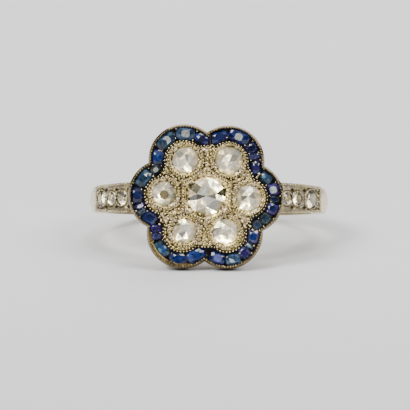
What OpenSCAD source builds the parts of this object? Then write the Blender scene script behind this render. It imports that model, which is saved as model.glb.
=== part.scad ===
// Flower cluster ring lying on its side: a six-lobed head of rose cut diamonds edged with sapphires,
// diamond-set shoulder plates and a plain shank. Millimetres, +Z up. The origin is the centre of the
// finger hole, midway across the shank. The head faces -Y and looks up a little, because its two lower
// petals and the back of the shank are what the ring rests on.

/* [Shank] */
// Inner diameter of the finger hole
finger_d = 17.5; // [16.5:0.1:18.5]
// Thickness of the shank at the back
shank_t = 1.3; // [1.1:0.05:1.5]
// Width of the shank at the back
shank_w = 2.1; // [1.9:0.05:2.3]
// Width of the shoulders beside the head
shoulder_w = 2.6; // [2.5:0.05:2.8]

/* [Flower head] */
// Height of the flower's rim above the axis of the finger hole
head_h = 12.6; // [12.2:0.1:13]
// Thickness of the flower plate
plate_t = 1.15; // [1:0.05:1.3]
// Share of their charted distance from the flower's centre at which the lobes stand
lobe_spread = 1; // [0.99:0.005:1.01]
// Radius of the outer edge of each lobe
lobe_r = 2.95; // [2.9:0.05:3]
// Radius of the sapphire channel's outer wall in each lobe
channel_r = 2.74; // [2.73:0.01:2.76]
// Radius of the sapphire channel's inner wall in each lobe
petal_r = 1.62; // [1.6:0.01:1.63]
// Depth of the sapphire channel
channel_depth = 0.78; // [0.76:0.01:0.85]

/* [Stones] */
// Clear gap between each stone and its seat
seat_gap = 0.04; // [0.03:0.01:0.05]
// Diameter of the centre diamond
centre_d = 3.1; // [2.9:0.05:3.15]
// Width of the sapphires across the channel
sapphire_w = 1.04; // [0.94:0.01:1.05]

/* [Hidden] */
$fn = 96;
over = 1;

// Centres of the flower's lobes, across and up from its middle, drawn by hand and not quite even
LOBES = [
    [ 3.42, -0.10],
    [ 1.80,  2.90],
    [-1.84,  2.99],
    [-3.50,  0.10],
    [-1.96, -2.98],
    [ 1.70, -2.98],
];

// Petal diamonds: direction from the flower's centre, distance from it, diameter, table diameter
PETAL_DIAMONDS = [
    [ -2, 3.46, 2.14, 0],
    [ 58, 3.48, 2.28, 0],
    [120, 3.44, 2.18, 0],
    [176, 3.42, 2.00, 0.62],
    [238, 3.34, 2.00, 0],
    [299, 3.26, 2.06, 0],
];

// Sapphires: lobe, place round it from its own direction, shift outward from the middle of the
// channel, length along the channel, share of the full width, lean of the table outward from the
// petal, lean along the channel
SAPPHIRES = [
    [0,  51.0,  0.03, 1.08, 0.76,  3, -4],
    [0,  20.0,  0.00, 0.98, 0.98, -5,  4],
    [0,  -1.5,  0.00, 0.50, 0.86,  2,  0],
    [0, -22.5,  0.00, 0.86, 0.98,  4, -3],
    [0, -47.5,  0.03, 0.86, 0.93, -3,  2],
    [0, -69.5,  0.17, 0.68, 0.69,  2,  0],
    [1,  53.5, -0.07, 1.44, 0.86,  4,  2],
    [1,   9.2,  0.00, 1.70, 0.98, -4, -2],
    [1, -28.2,  0.00, 0.84, 0.98,  3,  4],
    [1, -47.5,  0.00, 0.48, 0.98, -2, -3],
    [1, -70.5,  0.13, 1.12, 0.75,  4,  2],
    [2,  53.0,  0.00, 1.22, 0.98,  2, -4],
    [2,  11.2,  0.00, 1.70, 0.98, -4,  3],
    [2, -34.0,  0.00, 1.50, 0.98, -3,  2],
    [2, -72.0,  0.09, 1.24, 0.75,  5, -2],
    [3,  61.0,  0.00, 1.12, 0.97,  3,  3],
    [3,  39.0,  0.09, 0.38, 0.81, -2,  0],
    [3,  26.5, -0.04, 0.42, 0.86, -4, -3],
    [3,   2.0,  0.00, 1.22, 0.98,  4,  2],
    [3, -37.0,  0.00, 1.48, 0.98,  2, -4],
    [3, -70.0,  0.01, 0.76, 0.60, -4,  3],
    [4,  65.0,  0.00, 1.50, 0.93,  3, -3],
    [4,  24.5,  0.00, 1.42, 0.98,  4,  2],
    [4, -17.5,  0.00, 1.50, 0.98, -3,  3],
    [4, -48.0, -0.05, 0.58, 0.88, -4, -2],
    [4, -64.8,  0.04, 0.58, 0.90,  3,  2],
    [5,  52.5,  0.00, 1.10, 0.98, -2,  3],
    [5,  30.0, -0.12, 0.36, 0.74,  3, -4],
    [5,  11.5,  0.00, 0.84, 0.98,  4,  2],
    [5, -16.4,  0.04, 1.16, 0.91, -4,  2],
    [5, -50.0,  0.03, 1.28, 0.93, -3, -3],
];

// Shoulder diamonds: angle round the shank from the head, diameter
SHOULDER_DIAMONDS = [
    [-43.4, 1.22],
    [-50.6, 1.06],
    [-58.9, 1.36],
    [ 39.5, 1.02],
    [ 45.8, 1.10],
    [ 55.8, 1.62],
];

// Shank
finger_r = finger_d / 2;
shank_off = 0.15;
shank_r = finger_r + shank_t + shank_off;
shank_crown_r = 2;
shoulder_flare = 0.05;
shoulder_back = 3.2;

// Shoulder plates
plate_rise = 0.2;
plate_from = 28;
plate_to = 64.5;
plate_r = shank_r + shank_off + plate_rise;
border_w = 0.22;
border_h = 0.14;
field_r = plate_r - border_h;
shoulder_seat_depth = 0.5;

// Flower plate: heights are above the crest of the rim
rim_bevel = 0.14;
rim_bevel_h = 0.35;
core_r = 4.2;
ground_h = 0.04;
collet_h = 0.28;
collet_crest = 0.27;
collet_foot = 0.1;
cell_h = 0.4;
cell_sides = 6;
cell_apothem = 1.9;
cell_crest = 0.2;
drill_share = 0.45;

// Gallery under the flower plate
gallery_sink = 1;
gallery_h = head_h - plate_t - shank_r + gallery_sink;
gallery_r = 2.5;
gallery_taper = 1;
gallery_t = 0.55;
gallery_hollow_r = 3.4;

// Rose cut stones: heights and radii as shares of the stone's radius
rose_sides = 6;
rose_girdle_n = 24;
rose_rise = 0.5;
rose_star_r = 0.56;
rose_star_h = 0.37;
rose_point_r = 0.02;
girdle_t = 0.1;
petal_seat_h = 0.14;
centre_seat_h = 0.2;

// Table cut stones
notch_place = 55;
notch_turn = 0.9;
table_n = 12;
cushion_power = 2.4;
table_share = 0.56;
crown_share = 0.3;
culet_share = 0.22;
sapphire_girdle_h = -0.24;
sapphire_crown = 0.24;
sapphire_pavilion = 0.4;

// Rest: the ring is tipped until the lower petals and the back of the shank touch the same level
lobe_drop = lobe_r - lobe_spread * min([for (c = LOBES) c[1]]);
shank_edge_r = shank_r - shank_off - shank_crown_r
    + sqrt(shank_crown_r * shank_crown_r - shank_w * shank_w / 4);
rest_tilt = atan((lobe_drop - shank_w / 2) / (head_h - plate_t + shank_edge_r));

function pad2(i) = str(i < 10 ? "0" : "", i);

gold = [0.80, 0.74, 0.56];
diamond = [0.92, 0.91, 0.88];
sapphire = [0.10, 0.16, 0.46];

// The whole ring as it lies, from its own frame, in which the finger hole runs along Z
module as_it_lies() {
    rotate([-rest_tilt, 0, 0]) children();
}

// From the flower's own frame, with Z out of its face and zero at the rim's crest
module on_head() {
    translate([0, -head_h, 0]) rotate([90, 0, 0]) children();
}

// From a frame on the shank at a radius and an angle from the head, with Z outward
module on_shank(angle, radius) {
    rotate([0, 0, angle]) translate([0, -radius, 0]) rotate([90, 0, 0]) children();
}

// One child for each lobe of the flower
module each_lobe() {
    for (c = LOBES) translate(lobe_spread * c) children();
}

// Outline that gives the shank and shoulders their width, narrower by inset on each side
module width_wedge(inset = 0) {
    front = head_h + over;
    back = shank_r + over;
    wide = shoulder_w / 2 - inset;
    flare = shoulder_flare * (front - finger_r);
    narrow = shank_w / 2 - inset;
    rotate([90, 0, 90]) linear_extrude(height = 4 * finger_r, center = true)
        polygon([
            [-front, -wide - flare], [-finger_r, -wide], [-shoulder_back, -narrow], [back, -narrow],
            [back, narrow], [-shoulder_back, narrow], [-finger_r, wide], [-front, wide + flare]
        ]);
}

// Plain hoop with a crowned outside, a little thicker towards the head
module shank() {
    translate([0, -shank_off, 0]) rotate_extrude()
        intersection() {
            translate([finger_r - over, -shoulder_w]) square([shank_r - finger_r + over, 2 * shoulder_w]);
            translate([shank_r - shank_crown_r, 0]) circle(r = shank_crown_r);
        }
}

// Arc of rectangular section round the finger hole, from one angle off the head to another
module shoulder_arc(inner, outer, from, to) {
    rotate([0, 0, from - 90]) rotate_extrude(angle = to - from)
        translate([inner, -shoulder_w]) square([outer - inner, 2 * shoulder_w]);
}

// Raised plate on one shoulder, with a sunk field between narrow borders
module shoulder_plate(side) {
    near = side > 0 ? plate_from : -plate_to;
    far = side > 0 ? plate_to : -plate_from;
    margin = border_w / plate_r * 180 / PI;
    difference() {
        intersection() {
            shoulder_arc(finger_r + shank_t / 2, plate_r, near, far);
            width_wedge();
        }
        intersection() {
            shoulder_arc(field_r, plate_r + over, near + margin, far - margin);
            width_wedge(border_w);
        }
    }
}

// Six-lobed plate whose outer edge is bevelled up to a narrow crest
module flower_plate() {
    translate([0, 0, -plate_t]) each_lobe() cylinder(r = lobe_r, h = plate_t - rim_bevel_h);
    translate([0, 0, -rim_bevel_h])
        each_lobe() cylinder(r1 = lobe_r, r2 = lobe_r - rim_bevel, h = rim_bevel_h);
}

// The flower inside the channel, up to a height above the crest of the rim
module petal_ground(low, high) {
    translate([0, 0, low]) {
        cylinder(r = core_r, h = high - low);
        each_lobe() cylinder(r = petal_r, h = high - low);
    }
}

// Channel that the sapphires stand in
module sapphire_channel() {
    difference() {
        translate([0, 0, -channel_depth]) each_lobe() cylinder(r = channel_r, h = channel_depth + over);
        petal_ground(-channel_depth - over, over + 2);
    }
}

// Raised ring round a petal diamond, with a bright cut slope down to the stone
module petal_collet(d) {
    crest = d / 2 + collet_crest;
    foot = crest + collet_foot;
    rotate_extrude()
        polygon([
            [0, -ground_h], [foot, -ground_h], [foot, ground_h], [crest, collet_h],
            [crest - collet_foot / 2, collet_h], [d / 2 + seat_gap, petal_seat_h], [0, petal_seat_h]
        ]);
}

// Six-sided cell round the centre diamond, with the same slope down to the stone
module centre_cell() {
    seat = centre_d / 2 + seat_gap;
    difference() {
        rotate([0, 0, 180 / cell_sides])
            cylinder(r = cell_apothem / cos(180 / cell_sides), h = cell_h, $fn = cell_sides);
        translate([0, 0, centre_seat_h])
            cylinder(r1 = seat, r2 = seat + cell_crest, h = cell_h - centre_seat_h);
        translate([0, 0, cell_h]) cylinder(r = seat + cell_crest, h = over);
    }
}

// Round seat for a stone and the hole drilled through behind it
module drilled_seat(d, top) {
    depth = girdle_t + seat_gap;
    translate([0, 0, top - depth]) cylinder(r = d / 2 + seat_gap, h = depth + over);
    translate([0, 0, -plate_t - gallery_h / 4]) cylinder(r = d / 2 * drill_share, h = plate_t + gallery_h);
}

// Tapering lobed cup that carries the flower plate on the shank
module gallery() {
    translate([0, 0, -plate_t - gallery_h])
        difference() {
            each_lobe() cylinder(r1 = gallery_r - gallery_taper, r2 = gallery_r, h = gallery_h + over / 4);
            translate([0, 0, -over]) {
                each_lobe() cylinder(r = gallery_r - gallery_taper - gallery_t, h = gallery_h + 3 * over);
                cylinder(r = gallery_hollow_r, h = gallery_h + 3 * over);
            }
        }
}

// Flower plate, gallery and cells, drilled for the diamonds
module head() {
    difference() {
        union() {
            flower_plate();
            petal_ground(-plate_t, ground_h);
            gallery();
            centre_cell();
            for (p = PETAL_DIAMONDS)
                rotate([0, 0, p[0]]) translate([p[1], 0, 0]) petal_collet(p[2]);
        }
        sapphire_channel();
        drilled_seat(centre_d, centre_seat_h);
        for (p = PETAL_DIAMONDS)
            rotate([0, 0, p[0]]) translate([p[1], 0, 0]) drilled_seat(p[2], petal_seat_h);
    }
}

// Shank, shoulders and head, soldered into one
module gold_mounting() {
    color(gold) as_it_lies() difference() {
        union() {
            intersection() {
                shank();
                width_wedge();
            }
            shoulder_plate(-1);
            shoulder_plate(1);
            on_head() head();
        }
        cylinder(r = finger_r, h = 2 * finger_r, center = true);
        for (s = SHOULDER_DIAMONDS)
            on_shank(s[0], field_r) translate([0, 0, -shoulder_seat_depth])
                cylinder(r = s[1] / 2 + seat_gap, h = shoulder_seat_depth + over);
    }
}

// Cosine or sine drawn out towards 1, which squares an oval: 2 leaves it as it is
function fuller(x, power) = sign(x) * pow(abs(x), 2 / power);

// Points of a ring of n points on an oval at a height, turned by a share of a step
function oval(n, rx, ry, z, turn, power) = [
    for (i = [0:n - 1])
        let (a = 360 * (i + turn) / n) [rx * fuller(cos(a), power), ry * fuller(sin(a), power), z]
];

// Points of a round ring of n points at a height
function ring(n, r, z) = [for (i = [0:n - 1]) [r * cos(360 * i / n), r * sin(360 * i / n), z]];

// Two triangles across each step between a ring and the next one up, which is turned by half a step
function step_faces(n, low, high) = [
    for (i = [0:n - 1], k = [0, 1])
        k == 0 ? [low + i, high + i, low + (i + 1) % n] : [high + i, high + (i + 1) % n, low + (i + 1) % n]
];

// Oval stone with a flat table, a crown and a pavilion of triangular facets, girdle at zero
module table_cut(length, width, crown, pavilion, power) {
    n = table_n;
    rx = length / 2;
    ry = width / 2;
    half = girdle_t / 2;
    points = concat(
        oval(n, rx * culet_share, ry * culet_share, -pavilion, 0, power),
        oval(n, rx, ry, -half, 0.5, power),
        oval(n, rx, ry, half, 1, power),
        oval(n, rx * table_share, ry * table_share, crown, 1.5, power)
    );
    faces = concat(
        [[for (i = [0:n - 1]) i]],
        [for (k = [0:2]) each step_faces(n, k * n, (k + 1) * n)],
        [[for (i = [n - 1:-1:0]) 3 * n + i]]
    );
    polyhedron(points = points, faces = faces);
}

// Rose cut stone: flat back, six star facets round the point or table, and facets down to a round girdle
module rose_cut(d, table_d) {
    r = d / 2;
    n = rose_girdle_n;
    step = n / rose_sides;
    star_r = r * rose_star_r;
    star_h = r * rose_star_h;
    half_facet = 360 / rose_sides / 4;
    dip = star_h * r * (1 - cos(half_facet)) / ((r - star_r) * cos(half_facet));
    top_r = max(table_d / 2, r * rose_point_r);
    top_h = star_h + (r * rose_rise - star_h) * (1 - top_r / star_r);
    points = concat(
        ring(n, r, -girdle_t),
        [for (i = [0:n - 1]) ring(n, r, i % 2 == 0 ? 0 : -dip)[i]],
        ring(rose_sides, star_r, star_h),
        ring(rose_sides, top_r, top_h)
    );
    star = 2 * n;
    top = star + rose_sides;
    faces = concat(
        [[for (i = [0:n - 1]) i]],
        [for (i = [0:n - 1]) [i, n + i, n + (i + 1) % n, (i + 1) % n]],
        [for (k = [0:rose_sides - 1], side = [0, 1])
            let (corner = k * step, j = side == 0 ? corner : corner - step / 2)
            [star + k, n + (j + 2 + n) % n, n + (j + 1 + n) % n, n + (j + n) % n]],
        [for (k = [0:rose_sides - 1]) [star + k, star + (k + 1) % rose_sides, n + k * step + step / 2]],
        [for (k = [0:rose_sides - 1])
            [top + k, top + (k + 1) % rose_sides, star + (k + 1) % rose_sides, star + k]],
        [[for (k = [rose_sides - 1:-1:0]) top + k]]
    );
    polyhedron(points = points, faces = faces);
}

// The large rose cut stone, point over the middle of the flower
module centre_diamond() {
    color(diamond) as_it_lies() on_head()
        translate([0, 0, centre_seat_h]) rotate([0, 0, 180 / rose_sides]) rose_cut(centre_d, 0);
}

// Rose cut stone of one petal
module petal_diamond(i) {
    p = PETAL_DIAMONDS[i];
    color(diamond) as_it_lies() on_head()
        rotate([0, 0, p[0]]) translate([p[1], 0, petal_seat_h]) rose_cut(p[2], p[3]);
}

// Small table cut stone on a shoulder
module shoulder_diamond(i) {
    s = SHOULDER_DIAMONDS[i];
    color(diamond) as_it_lies() on_shank(s[0], field_r)
        table_cut(s[1], s[1], crown_share * s[1] / 2, shoulder_seat_depth - seat_gap, 2);
}

// One sapphire, its long way along the channel, turned back where the channel runs into a notch
module channel_sapphire(i) {
    s = SAPPHIRES[i];
    c = LOBES[s[0]];
    path_r = (channel_r + petal_r) / 2 + s[2];
    turn = -sign(s[1]) * max(0, abs(s[1]) - notch_place) * notch_turn;
    color(sapphire) as_it_lies() on_head()
        translate(lobe_spread * c) rotate([0, 0, atan2(c[1], c[0]) + s[1]])
            translate([path_r, 0, sapphire_girdle_h]) rotate([0, 0, turn]) rotate([s[6], s[5], 0])
                table_cut(s[4] * sapphire_w, s[3], sapphire_crown, sapphire_pavilion, cushion_power);
}

gold_mounting();
centre_diamond();
for (i = [0:len(PETAL_DIAMONDS) - 1])
    petal_diamond(i);
for (i = [0:len(SHOULDER_DIAMONDS) - 1])
    shoulder_diamond(i);
for (i = [0:len(SAPPHIRES) - 1])
    channel_sapphire(i);
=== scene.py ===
"""Flower cluster ring lying on its side: rose cut diamonds, a channel of sapphires, millegrained gold."""

import math
import random

import bmesh
import bpy
import numpy as np
from mathutils import Matrix, Vector, noise


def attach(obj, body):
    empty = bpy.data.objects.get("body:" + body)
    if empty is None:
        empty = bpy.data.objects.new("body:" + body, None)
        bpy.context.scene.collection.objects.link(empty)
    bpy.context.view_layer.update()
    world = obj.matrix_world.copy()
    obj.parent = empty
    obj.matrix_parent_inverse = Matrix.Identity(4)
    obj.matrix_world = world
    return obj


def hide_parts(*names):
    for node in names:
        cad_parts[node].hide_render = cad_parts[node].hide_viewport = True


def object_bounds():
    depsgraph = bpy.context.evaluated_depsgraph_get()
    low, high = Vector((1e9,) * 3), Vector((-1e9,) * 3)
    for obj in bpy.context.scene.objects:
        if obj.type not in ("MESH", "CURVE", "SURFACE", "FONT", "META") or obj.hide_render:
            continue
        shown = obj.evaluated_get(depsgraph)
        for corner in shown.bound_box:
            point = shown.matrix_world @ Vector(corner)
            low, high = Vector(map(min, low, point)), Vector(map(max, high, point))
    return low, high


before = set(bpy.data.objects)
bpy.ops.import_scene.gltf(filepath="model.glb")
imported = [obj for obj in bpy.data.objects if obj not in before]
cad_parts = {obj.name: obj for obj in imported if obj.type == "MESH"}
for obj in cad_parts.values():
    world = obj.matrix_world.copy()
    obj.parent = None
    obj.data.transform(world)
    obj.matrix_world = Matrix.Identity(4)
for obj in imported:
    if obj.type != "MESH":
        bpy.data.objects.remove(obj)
cad_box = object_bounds()

# Shank and shoulders, in millimetres: the shank's outside is a circle set off towards the head
FINGER_R = 8.75
SHANK_T = 1.3
SHANK_W = 2.1
SHANK_OFF = 0.15
SHANK_CROWN_R = 2.0
SHANK_R = FINGER_R + SHANK_T + SHANK_OFF
SHOULDER_W = 2.6
SHOULDER_FLARE = 0.05
SHOULDER_BACK = 3.2
PLATE_FROM = 28.0
PLATE_TO = 64.5
PLATE_R = SHANK_R + SHANK_OFF + 0.2
BORDER_W = 0.22
BORDER_H = 0.14
FIELD_R = PLATE_R - BORDER_H

# Head, in millimetres: its face lies HEAD_H from the middle of the finger hole, other heights are over it
HEAD_H = 12.6
PLATE_T = 1.15
LOBE_R = 2.95
RIM_BEVEL = 0.14
CHANNEL_R = 2.74
PETAL_R = 1.62
CORE_R = 4.2
GROUND_H = 0.04
COLLET_H = 0.28
COLLET_CREST = 0.27
CELL_H = 0.4
CELL_SIDES = 6
CELL_APOTHEM = 1.9
CELL_CREST = 0.2
SEAT_GAP = 0.04
PETAL_SEAT_H = 0.14
CENTRE_SEAT_H = 0.2
CENTRE_D = 3.1
GIRDLE_T = 0.1
SAPPHIRE_W = 1.04
SAPPHIRE_GIRDLE_H = -0.24
SAPPHIRE_CROWN = 0.24
SAPPHIRE_PAVILION = 0.4

# From this many degrees off a lobe's own direction on, the sapphires turn to lie across the notch
NOTCH_PLACE = 55
NOTCH_TURN = 0.9

# Centres of the flower's lobes, across and up from its middle
LOBES = [(3.42, -0.10), (1.80, 2.90), (-1.84, 2.99), (-3.50, 0.10), (-1.96, -2.98), (1.70, -2.98)]

LOBE_DROP = LOBE_R - min(y for _, y in LOBES)
SHANK_EDGE_R = SHANK_R - SHANK_OFF - SHANK_CROWN_R + math.sqrt(SHANK_CROWN_R**2 - SHANK_W**2 / 4)
REST_TILT = math.atan((LOBE_DROP - SHANK_W / 2) / (HEAD_H - PLATE_T + SHANK_EDGE_R))

# From the millimetres of a part's own frame to the metres of the ring as it lies
MM = Matrix.Scale(0.001, 4)
AS_IT_LIES = MM @ Matrix.Rotation(-REST_TILT, 4, "X")
FACING_OUT = Matrix.Rotation(math.pi / 2, 4, "X")
ON_HEAD = AS_IT_LIES @ Matrix.Translation((0, -HEAD_H, 0)) @ FACING_OUT
HEAD_AXIS = (0, -math.cos(REST_TILT), math.sin(REST_TILT))


def on_shank(angle, radius):
    """Place on the shank, from a frame whose Z points outward there."""
    turn = Matrix.Rotation(math.radians(angle), 4, "Z")
    return AS_IT_LIES @ turn @ Matrix.Translation((0, -radius, 0)) @ FACING_OUT


# Petal diamonds: direction from the flower's centre, distance from it, diameter, radius of the table,
# reach of the star facets as a share of the radius, and where they meet, across and up from the middle
PETALS = [
    (-2, 3.46, 2.14, 0, 0.57, (-0.03, 0.11)),
    (58, 3.48, 2.28, 0, 0.50, (-0.06, -0.19)),
    (120, 3.44, 2.18, 0, 0.55, (0.12, -0.27)),
    (176, 3.42, 2.00, 0.40, 0.62, (-0.03, -0.13)),
    (238, 3.34, 2.00, 0, 0.65, (0.15, -0.09)),
    (299, 3.26, 2.06, 0, 0.48, (0.06, 0.02)),
]

# Painted reflections: tints of a diamond's facets that stand for what they reflect
REFLECTION_TONES = {
    "dark": (0.040, 0.036, 0.020),
    "olive": (0.14, 0.125, 0.06),
    "smoke": (0.11, 0.105, 0.085),
    "gold": (0.40, 0.34, 0.175),
    "ash": (0.17, 0.163, 0.138),
    "grey": (0.28, 0.266, 0.21),
    "sand": (0.53, 0.47, 0.29),
    "cream": (0.69, 0.63, 0.43),
    "mist": (0.54, 0.52, 0.465),
    "soft": (0.60, 0.565, 0.455),
    "light": (0.80, 0.77, 0.65),
    "white": (1.0, 0.985, 0.905),
    "disc": (0.21, 0.165, 0.08),
}

# Star facets of the rose cuts: the direction of the facet's first edge and the tint of its painted
# reflection
CENTRE_STAR = [
    (14, "sand"), (66, "mist"), (118, "mist"), (168, "smoke"), (203, "light"), (268, "mist"),
    (343, "ash"),
]
PETAL_STARS = [
    [(50, "white"), (105, "light"), (162, "ash"), (208, "light"), (285, "soft"), (345, "grey")],
    [(0, "grey"), (62, "white"), (120, "white"), (180, "light"), (262, "mist"), (320, "light")],
    [(25, "soft"), (64, "grey"), (99, "light"), (160, "soft"), (250, "white"), (312, "mist")],
    [(0, "soft"), (45, "sand"), (90, "light"), (135, "light"), (180, "white"), (225, "white"),
     (270, "cream"), (315, "gold")],
    [(10, "mist"), (62, "mist"), (124, "soft"), (194, "smoke"), (248, "white"), (290, "soft")],
    [(30, "light"), (96, "light"), (145, "soft"), (222, "gold"), (288, "soft"), (335, "mist")],
]

# Tints of the painted reflections of the facets between the star and the girdle, at even steps round the
# stone from its right
CENTRE_RIM = (
    "dark white white white cream light olive olive cream "
    "dark white cream gold light white grey gold white"
).split()
PETAL_RIMS = [
    "sand cream mist soft grey sand sand white white light sand cream".split(),
    "sand grey gold sand light sand sand cream light cream sand cream".split(),
    "sand cream cream sand grey cream soft light light white soft sand".split(),
    "gold smoke sand sand soft light mist white light cream gold olive".split(),
    "sand cream sand white olive sand cream white soft cream soft sand".split(),
    "light cream sand grey white grey mist white white white light cream".split(),
]

# Sapphire colours; those from AQUA on serve mostly for painted flashes of light
NAVY = (0.009, 0.016, 0.078)
INK = (0.009, 0.011, 0.044)
VIOLET = (0.026, 0.017, 0.10)
DUSK = (0.040, 0.042, 0.12)
ROYAL = (0.013, 0.031, 0.15)
CORN = (0.035, 0.10, 0.29)
TEAL = (0.015, 0.036, 0.066)
STEEL = (0.030, 0.060, 0.118)
BOTTLE = (0.030, 0.044, 0.047)
SLATE = (0.058, 0.073, 0.103)
AQUA = (0.12, 0.27, 0.38)
ICE = (0.34, 0.48, 0.57)
FROST = (0.40, 0.42, 0.38)
PALE = (0.49, 0.53, 0.52)
CREAM_WHITE = (0.86, 0.85, 0.74)
LILAC = (0.11, 0.13, 0.35)

# Sapphires: lobe, place round it from its own direction, shift outward, length along the channel,
# share of the full width, lean outward, lean along the channel, body, glow under the table, and the
# colour, direction and half width in degrees of the painted flash of light on the stone: from 30 degrees
# it lies on the table, from 20 on one crown facet, and below that on one of the small facets by the table
SAPPHIRES = [
    (0, 51.0, 0.03, 1.08, 0.76, 3, -4, TEAL, STEEL, AQUA, 170, 40),
    (0, 20.0, 0.00, 0.98, 0.98, -5, 4, VIOLET, PALE, PALE, 200, 180),
    (0, -1.5, 0.00, 0.50, 0.86, 2, 0, BOTTLE, INK, None, 0, 0),
    (0, -22.5, 0.00, 0.86, 0.98, 4, -3, VIOLET, NAVY, ICE, 100, 20),
    (0, -47.5, 0.03, 0.86, 0.93, -3, 2, BOTTLE, TEAL, None, 0, 0),
    (0, -69.5, 0.17, 0.68, 0.69, 2, 0, SLATE, STEEL, None, 0, 0),
    (1, 53.5, -0.07, 1.44, 0.86, 4, 2, NAVY, NAVY, None, 0, 0),
    (1, 9.2, 0.00, 1.70, 0.98, -4, -2, NAVY, FROST, FROST, 0, 180),
    (1, -28.2, 0.00, 0.84, 0.98, 3, 4, INK, INK, CREAM_WHITE, 100, 14),
    (1, -47.5, 0.00, 0.48, 0.98, -2, -3, DUSK, DUSK, None, 0, 0),
    (1, -70.5, 0.13, 1.12, 0.75, 4, 2, NAVY, VIOLET, None, 0, 0),
    (2, 53.0, 0.00, 1.22, 0.98, 2, -4, NAVY, ROYAL, CORN, 90, 40),
    (2, 11.2, 0.00, 1.70, 0.98, -4, 3, TEAL, STEEL, PALE, 45, 110),
    (2, -34.0, 0.00, 1.50, 0.98, -3, 2, STEEL, FROST, FROST, 0, 180),
    (2, -72.0, 0.09, 1.24, 0.75, 5, -2, NAVY, INK, PALE, 90, 25),
    (3, 61.0, 0.00, 1.12, 0.97, 3, 3, NAVY, NAVY, None, 0, 0),
    (3, 39.0, 0.09, 0.38, 0.81, -2, 0, SLATE, SLATE, None, 0, 0),
    (3, 26.5, -0.04, 0.42, 0.86, -4, -3, VIOLET, LILAC, CREAM_WHITE, 240, 150),
    (3, 2.0, 0.00, 1.22, 0.98, 4, 2, INK, NAVY, None, 0, 0),
    (3, -37.0, 0.00, 1.48, 0.98, 2, -4, TEAL, TEAL, CREAM_WHITE, 40, 14),
    (3, -70.0, 0.01, 0.76, 0.60, -4, 3, BOTTLE, FROST, FROST, 0, 180),
    (4, 65.0, 0.00, 1.50, 0.93, 3, -3, ROYAL, ROYAL, PALE, 100, 28),
    (4, 24.5, 0.00, 1.42, 0.98, 4, 2, NAVY, ROYAL, PALE, 60, 24),
    (4, -17.5, -0.03, 1.40, 0.93, 3, -3, TEAL, CORN, AQUA, 200, 35),
    (4, -48.0, -0.05, 0.58, 0.88, -4, -2, DUSK, DUSK, LILAC, 90, 25),
    (4, -64.8, 0.04, 0.58, 0.90, 3, 2, VIOLET, VIOLET, LILAC, 90, 18),
    (5, 52.5, 0.00, 1.10, 0.98, -2, 3, DUSK, ROYAL, CREAM_WHITE, 80, 25),
    (5, 30.0, -0.12, 0.36, 0.74, 3, -4, SLATE, AQUA, PALE, 90, 70),
    (5, 11.5, 0.00, 0.84, 0.98, 4, 2, DUSK, VIOLET, None, 0, 0),
    (5, -16.4, 0.04, 1.16, 0.91, -4, 2, STEEL, STEEL, ICE, 240, 70),
    (5, -50.0, 0.03, 1.28, 0.93, -3, -3, NAVY, LILAC, LILAC, 0, 180),
]

# Shoulder diamonds: angle round the shank from the head, diameter, direction of their painted flash of
# light
SHOULDER_DIAMONDS = [
    (-43.4, 1.22, 300), (-50.6, 1.06, 250), (-58.9, 1.36, 0),
    (39.5, 1.02, 300), (45.8, 1.10, 200), (55.8, 1.62, 225),
]


# Making of meshes
def new_piece(name, points, faces, place, material, smooth=True):
    """A mesh from points in millimetres in the place's own frame, riding on the ring."""
    mesh = bpy.data.meshes.new(name)
    mesh.from_pydata([tuple(place @ Vector(p)) for p in points], [], faces)
    mesh.validate()
    if smooth:
        mesh.shade_smooth()
    else:
        mesh.shade_flat()
    mesh.materials.append(material)
    piece = bpy.data.objects.new(name, mesh)
    bpy.context.scene.collection.objects.link(piece)
    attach(piece, "root")
    return piece


def ball(detail):
    """Points and faces of a ball of radius 1."""
    bm = bmesh.new()
    bmesh.ops.create_icosphere(bm, subdivisions=detail, radius=1)
    points = [tuple(v.co) for v in bm.verts]
    faces = [tuple(v.index for v in f.verts) for f in bm.faces]
    bm.free()
    return points, faces


BEAD = ball(2)


def beads(name, spots, material, place=ON_HEAD):
    """One mesh of many beads. A spot is (x, y, z, radius) in the place's frame."""
    points, faces = [], []
    for x, y, z, r in spots:
        first = len(points)
        points += [(x + r * a, y + r * b, z + r * c) for a, b, c in BEAD[0]]
        faces += [tuple(first + i for i in f) for f in BEAD[1]]
    new_piece(name, points, faces, place, material)


# Outlines on the face of the flower
def polar(angle, r, centre=(0, 0)):
    """Point at a direction in degrees and a distance from a centre."""
    a = math.radians(angle)
    return (centre[0] + r * math.cos(a), centre[1] + r * math.sin(a))


def circle_reach(angle, centre, r):
    """How far from the middle of the flower a circle reaches in a direction."""
    u = polar(angle, 1)
    along = centre[0] * u[0] + centre[1] * u[1]
    off = centre[0] * u[1] - centre[1] * u[0]
    return along + math.sqrt(r * r - off * off) if abs(off) < r else 0.0


def evenly(line, spacing):
    """Points at even spacing along a closed line."""
    line = line + line[:1]
    lengths = [math.dist(a, b) for a, b in zip(line, line[1:])]
    total = sum(lengths)
    count = round(total / spacing)
    out, i, gone = [], 0, 0.0
    for k in range(count):
        want = total * k / count
        while gone + lengths[i] < want:
            gone += lengths[i]
            i += 1
        share = (want - gone) / lengths[i]
        a, b = line[i], line[i + 1]
        out.append((a[0] + share * (b[0] - a[0]), a[1] + share * (b[1] - a[1])))
    return out


def flower_line(lobe_r, core_r, spacing):
    """Points at even spacing along the outline of the lobes and the round core between them."""
    fine = []
    for quarter in range(1440):
        angle = quarter / 4
        reach = max([circle_reach(angle, c, lobe_r) for c in LOBES] + [core_r])
        fine.append(polar(angle, reach))
    return evenly(fine, spacing)


def ring_line(centre, r, spacing):
    """Points at even spacing round a circle."""
    count = round(2 * math.pi * r / spacing)
    return [polar(360 * k / count, r, centre) for k in range(count)]


def cell_line(apothem, spacing):
    """Points at even spacing along the six-sided cell."""
    half = 180 / CELL_SIDES
    corner_r = apothem / math.cos(math.radians(half))
    return evenly([polar(2 * half * k + half, corner_r) for k in range(CELL_SIDES)], spacing)


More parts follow.
